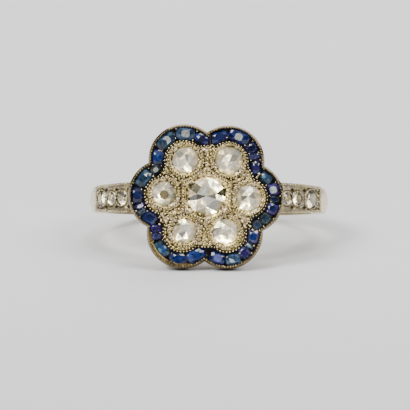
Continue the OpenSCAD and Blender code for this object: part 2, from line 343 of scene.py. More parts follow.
# Shader tools
def group(name, inputs, outputs):
    """An empty shader group with named sockets, and its two end nodes."""
    tree = bpy.data.node_groups.new(name, "ShaderNodeTree")
    for label, kind, value in inputs:
        socket = tree.interface.new_socket(label, in_out="INPUT", socket_type=kind)
        socket.default_value = value
    for label, kind in outputs:
        tree.interface.new_socket(label, in_out="OUTPUT", socket_type=kind)
    return tree, tree.nodes.new("NodeGroupInput"), tree.nodes.new("NodeGroupOutput")


def plug(tree, socket, value):
    """Links a socket to another, or gives it a plain value."""
    if isinstance(value, bpy.types.NodeSocket):
        tree.links.new(value, socket)
    else:
        socket.default_value = value


def node(tree, kind, inputs=None, **settings):
    """A shader node with its settings, its inputs given as values or as sockets to link."""
    made = tree.nodes.new(kind)
    for key, value in settings.items():
        setattr(made, key, value)
    for key, value in (inputs or {}).items():
        plug(tree, made.inputs[key], value)
    return made


def maths(tree, operation, a, b=0.0, clamp=False):
    """One sum on two values or sockets."""
    return node(tree, "ShaderNodeMath", {0: a, 1: b}, operation=operation, use_clamp=clamp).outputs[0]


def mix_colour(tree, share, a, b, blend="MIX"):
    """Two colours mixed by a share."""
    made = node(tree, "ShaderNodeMix", {"Factor": share}, data_type="RGBA", blend_type=blend)
    plug(tree, made.inputs[6], a)
    plug(tree, made.inputs[7], b)
    return made.outputs[2]


def spread(tree, value, low, high, new_low=0.0, new_high=1.0):
    """A value's range stretched to another."""
    inputs = {0: value, 1: low, 2: high, 3: new_low, 4: new_high}
    return node(tree, "ShaderNodeMapRange", inputs, clamp=True).outputs[0]


def cloud(tree, where, scale, detail=3.0):
    """Cloudy noise at a scale."""
    values = {"Vector": where, "Scale": scale, "Detail": detail}
    return node(tree, "ShaderNodeTexNoise", values).outputs["Fac"]


def new_material(name):
    """A new material with its node tree and its shader."""
    material = bpy.data.materials.new(name)
    material.use_nodes = True
    return material, material.node_tree, material.node_tree.nodes["Principled BSDF"]


def hand_worked():
    """Uneven tone, gloss and height of metal that was cut and rubbed by hand."""
    tree, start, end = group(
        "hand worked metal",
        [("Fineness", "NodeSocketFloat", 4.0), ("Unevenness", "NodeSocketFloat", 1.0)],
        [("Tone", "NodeSocketFloat"), ("Gloss", "NodeSocketFloat"), ("Height", "NodeSocketFloat"),
         ("Patch", "NodeSocketFloat")],
    )
    where = node(tree, "ShaderNodeTexCoord").outputs["Object"]
    fine = maths(tree, "MULTIPLY", start.outputs["Fineness"], 1000.0)
    small = cloud(tree, where, fine)
    large = cloud(tree, where, maths(tree, "MULTIPLY", fine, 0.22), 2.0)
    cells = {"Vector": where, "Scale": fine}
    pits = node(tree, "ShaderNodeTexVoronoi", cells, feature="F1").outputs["Distance"]
    both = maths(tree, "MULTIPLY", maths(tree, "ADD", small, large), 0.5)
    height = maths(tree, "ADD", small, maths(tree, "MULTIPLY", pits, 0.5))
    plug(tree, end.inputs["Tone"], spread(tree, both, 0.36, 0.64))
    plug(tree, end.inputs["Gloss"], spread(tree, large, 0.3, 0.7))
    plug(tree, end.inputs["Patch"], spread(tree, cloud(tree, where, 1100.0, 2.0), 0.4, 0.6))
    plug(tree, end.inputs["Height"], maths(tree, "MULTIPLY", height, start.outputs["Unevenness"]))
    return tree


def tarnish_and_shade_group():
    """How much tarnish and painted shade lie in a hollow, from how closed the hollow is."""
    tree, start, end = group(
        "tarnish in hollows",
        [("Open", "NodeSocketFloat", 0.9), ("Closed", "NodeSocketFloat", 0.3),
         ("Most", "NodeSocketFloat", 1.0), ("Openness", "NodeSocketFloat", 1.0)],
        [("Shade_and_tarnish", "NodeSocketFloat")],
    )
    openness = start.outputs["Openness"]
    closed = spread(tree, openness, start.outputs["Closed"], start.outputs["Open"], 1.0, 0.0)
    plug(tree, end.inputs["Shade_and_tarnish"], maths(tree, "MULTIPLY", closed, start.outputs["Most"], clamp=True))
    return tree


def dirt_and_shade_in_hollows(tree, reach, closed, open_at, most=1.0, own_only=False):
    """Share of tarnish and painted shade from how closed the hollows are, felt out as far as a reach in
    millimetres.
    """
    felt = {"Distance": reach * 0.001}
    shade_and_tarnish_share = node(tree, "ShaderNodeAmbientOcclusion", felt, samples=8, only_local=own_only)
    values = {"Open": open_at, "Closed": closed, "Most": most, "Openness": shade_and_tarnish_share.outputs["AO"]}
    return node(tree, "ShaderNodeGroup", values, node_tree=TARNISH_AND_SHADE_GROUP).outputs["Shade_and_tarnish"]


def gold(name, clean, shadow, grime_and_shade, roughness, fineness, bump, **hollows):
    """Gold of one colour, worked by hand and darkened in its hollows by tarnish and painted shade,
    charted or found.
    """
    material, tree, shader = new_material(name)
    shader.inputs["Metallic"].default_value = 1.0
    hand = node(tree, "ShaderNodeGroup", {"Fineness": fineness}, node_tree=WORKED)
    # Tarnish and painted shade darken the gold in its hollows, charted on the mesh or found by ambient
    # occlusion
    charted = node(tree, "ShaderNodeVertexColor", {}, layer_name="shade_and_tarnish_share").outputs["Color"]
    tarnish_and_shade = maths(tree, "MAXIMUM", dirt_and_shade_in_hollows(tree, **hollows), charted)
    r, g, b, _ = clean
    yellow, rosy = (r, g * 0.97, b * 0.74, 1), (r, g * 0.98, b * 1.14, 1)
    varied = mix_colour(tree, hand.outputs["Patch"], yellow, rosy)
    metal = mix_colour(tree, hand.outputs["Tone"], shadow, varied)
    plug(tree, shader.inputs["Base Color"], mix_colour(tree, tarnish_and_shade, metal, grime_and_shade))
    rough = spread(tree, hand.outputs["Gloss"], 0.0, 1.0, roughness * 0.7, roughness * 1.5)
    rougher = maths(tree, "MULTIPLY", tarnish_and_shade, 0.3)
    plug(tree, shader.inputs["Roughness"], maths(tree, "ADD", rough, rougher))
    relief = {"Height": hand.outputs["Height"], "Strength": bump, "Distance": 0.00002}
    plug(tree, shader.inputs["Normal"], node(tree, "ShaderNodeBump", relief).outputs["Normal"])
    return material


def along_head(tree, vector):
    """Share of a vector that points the way the flower faces."""
    values = {0: vector, 1: HEAD_AXIS}
    return node(tree, "ShaderNodeVectorMath", values, operation="DOT_PRODUCT").outputs["Value"]


def mounting_gold():
    """Polished gold of the shank, worn and brown on the flower's rim, dark in the sapphire channel with
    dirt and painted shade.
    """
    material = gold(
        "polished pale gold", PALE_GOLD, DEEP_PALE_GOLD, BROWN, roughness=0.2, fineness=1.2, bump=0.1,
        reach=0.5, closed=0.3, open_at=0.8, most=0.8,
    )
    tree = material.node_tree
    colour = tree.nodes["Principled BSDF"].inputs["Base Color"]
    polished = colour.links[0].from_socket
    where = node(tree, "ShaderNodeTexCoord")
    height = along_head(tree, where.outputs["Object"])
    plate_back = (HEAD_H - PLATE_T) * 0.001
    on_plate = spread(tree, height, plate_back - 0.0001, plate_back)
    # Painted shade with some dirt, darkest deep in the sapphire channel
    dirt_and_shade = dirt_and_shade_in_hollows(tree, reach=0.8, closed=0.7, open_at=0.92, own_only=True)
    speckle = spread(tree, cloud(tree, where.outputs["Object"], 5200.0), 0.4, 0.62)
    worn_and_shaded = mix_colour(tree, dirt_and_shade, mix_colour(tree, speckle, RIM_DIRT_AND_SHADE, RIM_BROWN), SOOT_AND_SHADE)
    in_front = spread(tree, along_head(tree, where.outputs["Normal"]), 0.15, 0.4)
    dull = spread(tree, cloud(tree, where.outputs["Object"], 3800.0), 0.42, 0.58, 0.65, 0.9)
    share = maths(tree, "MAXIMUM", maths(tree, "MAXIMUM", in_front, dirt_and_shade), dull)
    plug(tree, colour, mix_colour(tree, maths(tree, "MULTIPLY", on_plate, share), polished, worn_and_shaded))
    return material


def cut_stone(name, ior, mirror, painted_glow):
    """A cut stone whose facets take their own tint from the mesh, painted reflections among them, and
    whose brightest tints can give off a painted glow.
    """
    material, tree, shader = new_material(name)
    shader.inputs["IOR"].default_value = ior
    shader.inputs["Transmission Weight"].default_value = STONE_CLEARNESS
    shader.inputs["Roughness"].default_value = STONE_POLISH
    shader.inputs["Specular IOR Level"].default_value = mirror
    tint = node(tree, "ShaderNodeVertexColor", {}, layer_name="facet").outputs["Color"]
    where = node(tree, "ShaderNodeTexCoord").outputs["Object"]
    # Painted reflections broken into shards, and a cloudy tone, vary each tint at random
    cells = {"Vector": where, "Scale": 3600.0}
    shards = node(tree, "ShaderNodeTexVoronoi", cells, feature="F1").outputs["Color"]
    chance = node(tree, "ShaderNodeSeparateXYZ", {0: shards}).outputs["X"]
    reflection_shards = spread(tree, chance, 0.0, 1.0, 0.74, 1.14)
    depth = spread(tree, cloud(tree, where, 2400.0, 2.0), 0.35, 0.65, 0.85, 1.1)
    tinted = mix_colour(tree, 1.0, tint, maths(tree, "MULTIPLY", reflection_shards, depth), "MULTIPLY")
    plug(tree, shader.inputs["Base Color"], tinted)
    # Painted glow: the brightest tints shine as if lit from inside the stone
    if painted_glow:
        painted_glow_colour = node(tree, "ShaderNodeGamma", {"Color": tinted, "Gamma": 8.0}).outputs["Color"]
        plug(tree, shader.inputs["Emission Color"], painted_glow_colour)
        shader.inputs["Emission Strength"].default_value = painted_glow
    return material


# Colours of the gold: clean, darker tones, and the dark of tarnish and painted shade
CREAM = (1.0, 0.85, 0.49, 1)
DEEP_CREAM = (0.66, 0.54, 0.29, 1)
STRAW = (0.41, 0.315, 0.14, 1)
UMBER = (0.055, 0.041, 0.015, 1)
PALE_GOLD = (0.88, 0.775, 0.525, 1)
DEEP_PALE_GOLD = (0.73, 0.64, 0.43, 1)
BROWN = (0.12, 0.085, 0.04, 1)
RIM_GOLD = (0.42, 0.315, 0.15, 1)
RIM_BROWN = (0.12, 0.086, 0.038, 1)
RIM_DIRT_AND_SHADE = (0.10, 0.074, 0.035, 1)
SOOT_AND_SHADE = (0.060, 0.062, 0.076, 1)
CHAMPAGNE = (0.80, 0.71, 0.49, 1)
DEEP_CHAMPAGNE = (0.45, 0.375, 0.215, 1)

STONE_CLEARNESS = 0.22
STONE_POLISH = 0.03

WORKED = hand_worked()
TARNISH_AND_SHADE_GROUP = tarnish_and_shade_group()
ground_gold = gold(
    "carved pale gold", CREAM, STRAW, UMBER, roughness=0.22, fineness=6.0, bump=0.7,
    reach=0.2, closed=0.35, open_at=0.9,
)
bead_gold = gold(
    "millegrain gold", CREAM, DEEP_CREAM, UMBER, roughness=0.2, fineness=4.0, bump=0.3,
    reach=0.14, closed=0.35, open_at=0.95,
)
rim_gold = gold(
    "worn rim gold", RIM_GOLD, RIM_BROWN, RIM_DIRT_AND_SHADE, roughness=0.22, fineness=4.0, bump=0.3,
    reach=0.14, closed=0.35, open_at=0.95,
)
field_gold = gold(
    "cut champagne gold", CHAMPAGNE, DEEP_CHAMPAGNE, UMBER, roughness=0.2, fineness=6.0, bump=0.5,
    reach=0.2, closed=0.35, open_at=0.9,
)
STONES = {
    "diamond": cut_stone("cut diamond", 2.42, mirror=0.4, painted_glow=5.2),
    "sapphire": cut_stone("cut sapphire", 1.77, mirror=0.2, painted_glow=0.0),
}
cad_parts["gold_mounting"].data.materials[0] = mounting_gold()


# Cut stones
def stone(name, node_name, points, facets, place, kind):
    """A faceted stone, standing for its plain solid. A facet is its tint and its points."""
    faces = [face for _, face in facets]
    piece = new_piece(name, points, faces, place, STONES[kind], smooth=False)
    layer = piece.data.color_attributes.new(name="facet", type="FLOAT_COLOR", domain="CORNER")
    for face, (tint, _) in zip(piece.data.polygons, facets):
        for corner in face.loop_indices:
            layer.data[corner].color = (*tint, 1)
    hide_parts(node_name)


# Heights and reach of a rose cut as shares of its radius, and steps of its girdle at each star facet
ROSE_STAR_H = 0.37
ROSE_TOP_H = 0.5
ROSE_TABLE_DIP = 0.05
ROSE_POINT_DIP = 0.01
ROSE_REACH = 0.54
GIRDLE_STEPS = 4


def rose_cut(name, node_name, d, star, rim, seed, place, table_r=0.0, reach=ROSE_REACH, meeting=(0, 0)):
    """Rose cut diamond: star facets of uneven width round a point or a small table, then the girdle."""
    rng = random.Random(seed)
    r = d / 2
    sides = len(star)
    corners = [a for a, _ in star]
    shifted = (meeting[0] * 0.3, meeting[1] * 0.3)
    points = []
    for a in corners:
        corner = polar(a, r * reach * rng.uniform(0.96, 1.04), shifted)
        points.append((*corner, ROSE_STAR_H * r * rng.uniform(0.97, 1.03)))
    girdle = []
    for k, a in enumerate(corners):
        width = (corners[(k + 1) % sides] - a) % 360
        girdle += [a + width * s / GIRDLE_STEPS for s in range(GIRDLE_STEPS)]
    n = len(girdle)
    ring = len(points)
    points += [(*polar(a, r), 0) for a in girdle]
    low = len(points)
    points += [(*polar(a, r), -GIRDLE_T) for a in girdle]
    top = len(points)
    if table_r:
        points += [(*polar(a, table_r, meeting), (ROSE_TOP_H - ROSE_TABLE_DIP) * r) for a in corners]
    else:
        points.append((*meeting, (ROSE_TOP_H - ROSE_POINT_DIP) * r))

    # Every facet, the girdle and the table too, takes the tint of a painted reflection
    def rim_tint(angle):
        return REFLECTION_TONES[rim[int(angle % 360 * len(rim) / 360)]]

    facets = []
    for k in range(sides):
        j = (k + 1) % sides
        facets.append((REFLECTION_TONES[star[k][1]], (k, j, top + j, top + k) if table_r else (k, j, top)))
        g = [ring + (GIRDLE_STEPS * k + s) % n for s in range(GIRDLE_STEPS + 1)]
        turns = [girdle[(GIRDLE_STEPS * k + s) % n] for s in range(GIRDLE_STEPS + 1)]
        facets.append((rim_tint(turns[2]), (k, g[2], j)))
        cuts = ((k, 0, 1, turns[0]), (k, 1, 2, turns[1]), (j, 2, 3, turns[3]), (j, 3, 4, turns[3] + 8))
        facets += [(rim_tint(at), (near, g[a], g[b])) for near, a, b, at in cuts]
    for i in range(n):
        j = (i + 1) % n
        facets.append((REFLECTION_TONES["gold"], (ring + i, low + i, low + j, ring + j)))
    facets.append((REFLECTION_TONES["grey"], tuple(low + i for i in reversed(range(n)))))
    if table_r:
        facets.append((REFLECTION_TONES["disc"], tuple(top + k for k in range(sides))))
    stone(name, node_name, points, facets, place, "diamond")


# Sides of a cushion stone, and the reach of its table, star facets and culet as shares of the whole
CUSHION_SIDES = 8
TABLE_FROM = 0.52
TABLE_TO = 0.6
LONGEST_TABLE = 1.1
STAR_REACH = 0.8
STAR_H = 0.66
CULET_SHARE = 0.2

# Powers that shape a cushion stone's outline, and heights of the shoulders' old cuts
ROUND = 2.0
SAPPHIRE_SQUARENESS = 2.9
OLD_CUT_CROWN = 0.15
OLD_CUT_PAVILION = 0.46


def table_cut(name, node_name, size, power, tint_of, seed, place, kind):
    """Cushion stone: an eight-sided table, crown facets to the girdle, and a pavilion below.

    Its size is its length, width, and the heights of crown and pavilion. A higher power makes its outline
    squarer, and tint_of gives the tint of a facet from its part of the stone and its direction.
    """
    length, width, crown, pavilion = size
    rng = random.Random(seed)
    sides = CUSHION_SIDES
    n = 2 * sides

    def oval(share, z, count, turn, longest=length):
        ring = []
        for i in range(count):
            a = 2 * math.pi * (i + turn) / count
            x, y = [math.copysign(abs(v) ** (2 / power), v) for v in (math.cos(a), math.sin(a))]
            ring.append((x * width / 2 * share, y * longest / 2 * share, z))
        return ring

    half = GIRDLE_T / 2
    table_length = min(length, LONGEST_TABLE * width)
    points = oval(rng.uniform(TABLE_FROM, TABLE_TO), crown, sides, 0.5, table_length)
    points += oval(STAR_REACH, crown * STAR_H, sides, 0)
    points += oval(1, half, n, 0) + oval(1, -half, n, 0) + oval(CULET_SHARE, -pavilion, sides, 0.5)
    points.append((0, 0, crown))
    star = sides
    upper = star + sides
    lower = upper + n
    culet = lower + n
    middle = culet + sides
    parts = []
    for i in range(sides):
        j = (i + 1) % sides
        before = (i - 1) % sides
        parts.append(("table", (before, i, middle)))
        parts.append(("star", (before, star + i, i)))
        parts.append(("kite", (star + i, upper + 2 * i + 1, star + j, i)))
        for a, b in ((2 * i, 2 * i + 1), (2 * i - 1, 2 * i)):
            parts.append(("edge", (star + i, upper + a % n, upper + b % n)))
        parts.append(("below", (lower + 2 * i, culet + before, culet + i)))
        for a, near in ((2 * i, i), (2 * i - 1, before)):
            parts.append(("below", (lower + (a + 1) % n, lower + a % n, culet + near)))
    for a in range(n):
        b = (a + 1) % n
        parts.append(("below", (lower + a, lower + b, upper + b, upper + a)))
    parts.append(("below", tuple(culet + i for i in reversed(range(sides)))))
    facets = []
    for part, face in parts:
        x = sum(points[i][0] for i in face)
        y = sum(points[i][1] for i in face)
        facets.append((tint_of(part, math.degrees(math.atan2(y, x)), rng), face))
    stone(name, node_name, points, facets, place, kind)


rose_cut(
    "centre_rose_cut", "centre_diamond", CENTRE_D, CENTRE_STAR, CENTRE_RIM, 3,
    ON_HEAD @ Matrix.Translation((0, 0, CENTRE_SEAT_H)),
)
for i, (petal, star, rim) in enumerate(zip(PETALS, PETAL_STARS, PETAL_RIMS)):
    direction, distance, d, table_r, reach, meeting = petal
    at = ON_HEAD @ Matrix.Translation((*polar(direction, distance), PETAL_SEAT_H))
    names = f"petal_rose_cut_{i + 1}", f"petal_diamond_{i + 1}"
    rose_cut(*names, d, star, rim, 20 + i, at, table_r, reach, meeting)


def sapphire_tints(body, glow, flash, flash_toward, flash_half, turned):
    """Tints for a sapphire's facets, with a painted flash of light on the side that it is charted to."""
    def tint(part, angle, rng):
        away = abs((angle + turned - flash_toward + 180) % 360 - 180)
        flashing = "table" if flash_half >= 30 else "kite" if flash_half >= 20 else "star"
        # A painted flash of light on the facets that face its charted direction
        if flash and part == flashing and away <= max(flash_half, 24):
            colour, shares = flash, (0.85, 1.0, 1.1)
        elif part == "table":
            colour, shares = (body if glow == flash else glow), (0.6, 0.85, 1.15)
        elif part != "below":
            colour, shares = body, (0.5, 0.8, 1.15, 1.5, 2.3)
        else:
            colour, shares = body, (1.0,)
        share = rng.choice(shares)
        return tuple(min(c * share, 1.0) for c in colour)
    return tint


def old_cut_tints(flash_toward):
    """Painted reflections on the facets of a small old cut diamond, with a painted flash of light on one
    side.
    """
    def tint(part, angle, rng):
        away = abs((angle - flash_toward + 180) % 360 - 180)
        if part == "below":
            return REFLECTION_TONES["gold"]
        if part == "table":
            return REFLECTION_TONES[rng.choice(["sand", "cream", "grey", "gold", "gold"])]
        if away < 35:
            return REFLECTION_TONES["white"]
        return REFLECTION_TONES[rng.choice(["dark", "dark", "olive", "olive", "smoke", "gold", "sand", "light"])]
    return tint


# Middle line of the sapphire channel round a lobe, and how much wider its stones are than the solids
PATH_R = (CHANNEL_R + PETAL_R) / 2
SNUG = 0.08
channel_places = []
for i, charted in enumerate(SAPPHIRES):
    lobe, place, shift, length, share, out, along, body, glow, flash, toward, half = charted
    cx, cy = LOBES[lobe]
    turned = math.degrees(math.atan2(cy, cx)) + place
    spot = polar(turned, PATH_R + shift, (cx, cy))
    turned -= math.copysign(max(0, abs(place) - NOTCH_PLACE) * NOTCH_TURN, place)
    at = Matrix.Translation((*spot, SAPPHIRE_GIRDLE_H)) @ Matrix.Rotation(math.radians(turned), 4, "Z")
    channel_places.append((at.copy(), length))
    at = at @ Matrix.Rotation(math.radians(out), 4, "Y") @ Matrix.Rotation(math.radians(along), 4, "X")
    size = (length + SNUG, share * SAPPHIRE_W + SNUG, SAPPHIRE_CROWN, SAPPHIRE_PAVILION)
    tints = sapphire_tints(body, glow, flash, toward, half, turned)
    names = f"channel_sapphire_{i + 1:02d}", f"sapphire_{i + 1:02d}"
    table_cut(*names, size, SAPPHIRE_SQUARENESS, tints, 40 + i, ON_HEAD @ at, "sapphire")
for i, (angle, d, toward) in enumerate(SHOULDER_DIAMONDS):
    size = (d, d, OLD_CUT_CROWN * d, OLD_CUT_PAVILION)
    names = f"shoulder_old_cut_{i + 1}", f"shoulder_diamond_{i + 1}"
    table_cut(*names, size, ROUND, old_cut_tints(toward), 90 + i, on_shank(angle, FIELD_R), "diamond")

# Carved ground of the flower and the shoulders, made as fine sheets over the plain metal
PITCH = 0.036
TRIM = 0.03
PETAL_FLUTES = 9
CENTRE_FLUTES = 11
FLUTE_DEPTH = 0.05
GROUND_LIFT = 0.07
BEAD_SEAT_W = 0.07
BEAD_SEAT_DEPTH = 0.05
LIP_W = 0.13
LIP_DEPTH = 0.06

# How much of its tarnish and painted shade the ground keeps, by direction from the flower's centre
DARKENING_KEPT = [
    (0, 0.65), (15, 0.85), (45, 1.1), (75, 0.9), (105, 0.9), (135, 1.05), (165, 0.9), (225, 0.9),
    (255, 0.85), (285, 0.6), (315, 1.1), (332, 0.35), (345, 0.2), (360, 0.55),
]
STONES_ON_FACE = [((0, 0), CENTRE_D)] + [(polar(a, far), d) for a, far, d, *_ in PETALS]


def roughness_at(x, y, seed, dents, grains):
    """Unevenness left by the graver at many points: broad dents, and grains packed side by side."""
    flat = np.zeros(x.size)
    for k, (a, b) in enumerate(zip(x.ravel(), y.ravel())):
        broad = noise.noise((a * 3.6, b * 3.6, seed))
        near = noise.voronoi((a * 4.4, b * 4.4, seed + 5))[0][0]
        flat[k] = broad * dents + (0.45 - near) * grains
    return flat.reshape(x.shape)


def sunk(height):
    """How far each point lies below the metal round it, from 0 to 1 where it is deep."""
    reach, depth = 4, 0.05
    mean = height.copy()
    for axis in (0, 1):
        mean = sum(np.roll(mean, k, axis) for k in range(-reach, reach + 1)) / (2 * reach + 1)
    return np.clip((mean - height) / depth, 0, 1)


def grid_piece(name, spots, shade_and_tarnish_share, keep, place, material):
    """A sheet over the kept points of a grid, with its tarnish and painted shade charted on its points.
    """
    index = np.full(keep.shape, -1)
    index[keep] = np.arange(keep.sum())
    corners = np.stack([index[:-1, :-1], index[1:, :-1], index[1:, 1:], index[:-1, 1:]], axis=2)
    faces = corners[(corners >= 0).all(axis=2)]
    piece = new_piece(name, spots[keep].tolist(), faces.tolist(), place, material)
    layer = piece.data.color_attributes.new(name="shade_and_tarnish_share", type="FLOAT_COLOR", domain="POINT")
    layer.data.foreach_set("color", np.repeat(shade_and_tarnish_share[keep], 4).astype(np.float32))


def round_shoulder(along, across, height):
    """Points round the shank from a length along the field, a place across it and a height over it."""
    angle = along / FIELD_R
    r = FIELD_R + height
    return np.stack([r * np.sin(angle), -r * np.cos(angle), across], axis=2)


def snap_to_stones(x, y, stones, keep):
    """Points near a stone's edge moved onto it, and those under the stone left out."""
    for (cx, cy), d in stones:
        off = np.hypot(x - cx, y - cy)
        outside = off > d / 2 - 1.5 * PITCH
        pull = np.where((off < d / 2) & outside, d / 2 / np.maximum(off, 0.1), 1)
        x = cx + (x - cx) * pull
        y = cy + (y - cy) * pull
        keep = keep & outside
    return x, y, keep


def cell_edge(x, y):
    """Distance of points from the middle, measured square to the cell's sides."""
    turns = [math.radians(360 * k / CELL_SIDES) for k in range(CELL_SIDES)]
    return np.max([x * math.cos(a) + y * math.sin(a) for a in turns], axis=0)


def flutes(x, y, count):
    """Cuts of the graver that fan out round a stone, from 0 in each cut to 1 between two."""
    return np.abs(np.sin(count * np.arctan2(y, x)))


def ground_form(x, y):
    """Height of the cell and the collets over the face, with the flutes on their inner slopes."""
    off = np.hypot(x, y)
    seat = CENTRE_D / 2 + SEAT_GAP
    slope = CENTRE_SEAT_H + (CELL_H - CENTRE_SEAT_H) * np.clip((off - seat) / CELL_CREST, 0, 1)
    edge = cell_edge(x, y) - CELL_APOTHEM
    flank = GROUND_H + 0.85 * (CELL_H - GROUND_H) * np.clip(1.2 - edge / 0.3, 0, 1)
    height = np.where(edge < 0.02, slope, flank)
    cuts = np.where(off < seat + CELL_CREST, flutes(x, y, CENTRE_FLUTES), 0.6)
    for (cx, cy), d in STONES_ON_FACE[1:]:
        off = np.hypot(x - cx, y - cy)
        crest = d / 2 + COLLET_CREST
        rise = np.clip((off - d / 2 - SEAT_GAP) / (COLLET_CREST - 0.09), 0, 1)
        up = PETAL_SEAT_H + (COLLET_H - PETAL_SEAT_H) * rise
        down = COLLET_H - (COLLET_H - GROUND_H) * np.clip((off - crest) / 0.2, 0, 1)
        height = np.where(off < crest, np.minimum(up, down), np.maximum(height, down))
        cuts = np.where(off < crest, flutes(x - cx, y - cy, PETAL_FLUTES), cuts)
    return height + FLUTE_DEPTH * (cuts - 0.6)


def carved_ground():
    """The gold between the sapphires: collets, the six-sided cell, and the ground cut by the graver."""
    reach = max(math.hypot(*c) for c in LOBES) + PETAL_R
    axis = np.arange(-reach, reach, PITCH)
    x, y = np.meshgrid(axis, axis, indexing="ij")
    in_core = CORE_R - np.hypot(x, y)
    in_petals = np.max([PETAL_R - np.hypot(x - cx, y - cy) for cx, cy in LOBES], axis=0)
    lip = np.maximum(in_core, in_petals)
    inside = lip >= TRIM
    past_stones = [np.hypot(x - cx, y - cy) - d / 2 for (cx, cy), d in STONES_ON_FACE[1:]]
    collet_crests = np.min([np.abs(past - COLLET_CREST) for past in past_stones], axis=0)
    collet_feet = np.min([np.abs(past - 0.48) for past in past_stones], axis=0)
    cell_crest = np.abs(cell_edge(x, y) - CELL_APOTHEM + 0.03)
    under_beads = np.minimum(collet_crests, cell_crest) < BEAD_SEAT_W
    relief = np.zeros_like(x)
    relief[inside] = roughness_at(x[inside], y[inside], 0.0, 0.06, 0.16)
    height = ground_form(x, y) + GROUND_LIFT + relief
    height = height - LIP_DEPTH * (lip < LIP_W) - BEAD_SEAT_DEPTH * under_beads
    kept = np.interp(np.degrees(np.arctan2(y, x)) % 360, *zip(*DARKENING_KEPT))
    # Painted shade with some tarnish: darker where the ground lies low, in a ring round each collet's
    # foot, under the beads and along the channel's lip
    shade_and_tarnish_share = sunk(height) + 0.25 * (collet_feet < 0.12) + 0.15
    shade_and_tarnish_share = np.maximum(shade_and_tarnish_share, 0.85 * under_beads) * kept
    shade_and_tarnish_share = np.clip(np.maximum(shade_and_tarnish_share, lip < LIP_W + 0.06), 0, 1)
    x, y, keep = snap_to_stones(x, y, STONES_ON_FACE, inside)
    grid_piece("carved_ground", np.stack([x, y, height], axis=2), shade_and_tarnish_share, keep, ON_HEAD, ground_gold)


def half_width(angle):
    """Half the width of a shoulder plate at an angle off the head, on its field."""
    forward = FIELD_R * np.cos(angle)
    flared = SHOULDER_W / 2 + SHOULDER_FLARE * (forward - FINGER_R)
    narrowing = np.interp(forward, [SHOULDER_BACK, FINGER_R], [SHANK_W / 2, SHOULDER_W / 2])
    return np.where(forward > FINGER_R, flared, narrowing)


def carved_field(name, side):
    """The cut metal between the three stones of one shoulder."""
    margin = BORDER_W + 0.01
    near = math.radians(PLATE_FROM) * FIELD_R + margin
    far = math.radians(PLATE_TO) * FIELD_R - margin
    along = np.arange(near, far, PITCH)
    if side < 0:
        along = -along[::-1]
    u, share = np.meshgrid(along, np.linspace(-1, 1, int(SHOULDER_W / PITCH)), indexing="ij")
    v = share * (half_width(np.abs(u) / FIELD_R) - margin)
    stones = [((math.radians(a) * FIELD_R, 0), d) for a, d, _ in SHOULDER_DIAMONDS if a * side > 0]
    height = np.full_like(u, 0.09)
    # Painted shade with some tarnish: darker in the grooves round the stones, in the notches and the low
    # places; the plate's ends get dark stripes and the collars next to the stones stay clear
    shade_and_tarnish_share = np.full_like(u, 0.4)
    for (cu, cv), d in stones:
        past = np.hypot(u - cu, v - cv) - d / 2
        collar = np.clip(1 - np.abs(past - 0.05) / 0.07, 0, 1)
        groove = np.clip(1.3 - np.abs(past - 0.16) / 0.06, 0, 1)
        height = np.maximum(height, 0.06 + 0.12 * collar) - 0.08 * groove
        shade_and_tarnish_share = np.maximum(shade_and_tarnish_share * (1 - np.minimum(1.6 * collar, 1)), groove)
    places = sorted(cu for (cu, _), _ in stones)
    between = [(a + b) / 2 for a, b in zip(places, places[1:])] + [places[0] - 0.72, places[-1] + 0.8]
    for middle in between:
        notch = np.abs(u - middle) / 0.34 + np.abs(np.abs(v) - 0.72) / 0.24
        cut = np.clip(2.2 - 2.0 * notch, 0, 1)
        height = height - 0.12 * cut
        shade_and_tarnish_share = np.maximum(shade_and_tarnish_share, cut)
    height = height + roughness_at(u, v, 3.0 + side, 0.03, 0.08)
    to_end = far - np.abs(u)
    height = np.maximum(height, BORDER_H * np.clip(1.5 - to_end / 0.1, 0, 1))
    height = np.maximum(height, 0.015)
    shade_and_tarnish_share = np.maximum(shade_and_tarnish_share, 0.8 * sunk(height))
    pits = (np.sin(15 * v) > 0.3) & (to_end > 0.08)
    shade_and_tarnish_share = np.clip(np.where(to_end < 0.3, 0.9 * pits, shade_and_tarnish_share), 0, 1)
    u, v, keep = snap_to_stones(u, v, stones, np.ones(u.shape, bool))
    grid_piece(name, round_shoulder(u, v, height), shade_and_tarnish_share, keep, AS_IT_LIES, field_gold)


carved_ground()
carved_field("carved_field_left", -1)
carved_field("carved_field_right", 1)

# Millegrain and setting grains: radii of the beads, and their spacing along the lines
by_hand = random.Random(11)
RIM_BEAD_R = 0.088
RIM_BEAD_PITCH = 0.235
CHANNEL_BEAD_R = 0.075
CHANNEL_BEAD_PITCH = 0.27
COLLET_BEAD_R = 0.068
CELL_BEAD_R = 0.072
BEAD_PITCH = 0.225
BORDER_BEAD_R = 0.075
BORDER_BEAD_PITCH = 0.2
BEAD_LIFT = 0.03


def uneven(line, z, r, wobble=0.12, stray=0.012):
    """Bead spots along a line, each a little out of line and size, as a hand tool leaves them."""
    spots = []
    for x, y in line:
        x += by_hand.uniform(-stray, stray)
        y += by_hand.uniform(-stray, stray)
        lift = by_hand.uniform(-stray, stray)
        spots.append((x, y, z + lift, r * by_hand.uniform(1 - wobble, 1 + wobble)))
    return spots


def around(centre, distance, count, z, r, turn=0.0):
    """Setting grains spread round a stone, not quite evenly."""
    spots = []
    for k in range(count):
        angle = turn + 360 * k / count + by_hand.uniform(-9, 9)
        x, y = polar(angle, distance + by_hand.uniform(-0.03, 0.03), centre)
        spots.append((x, y, z, r * by_hand.uniform(0.8, 1.2)))
    return spots


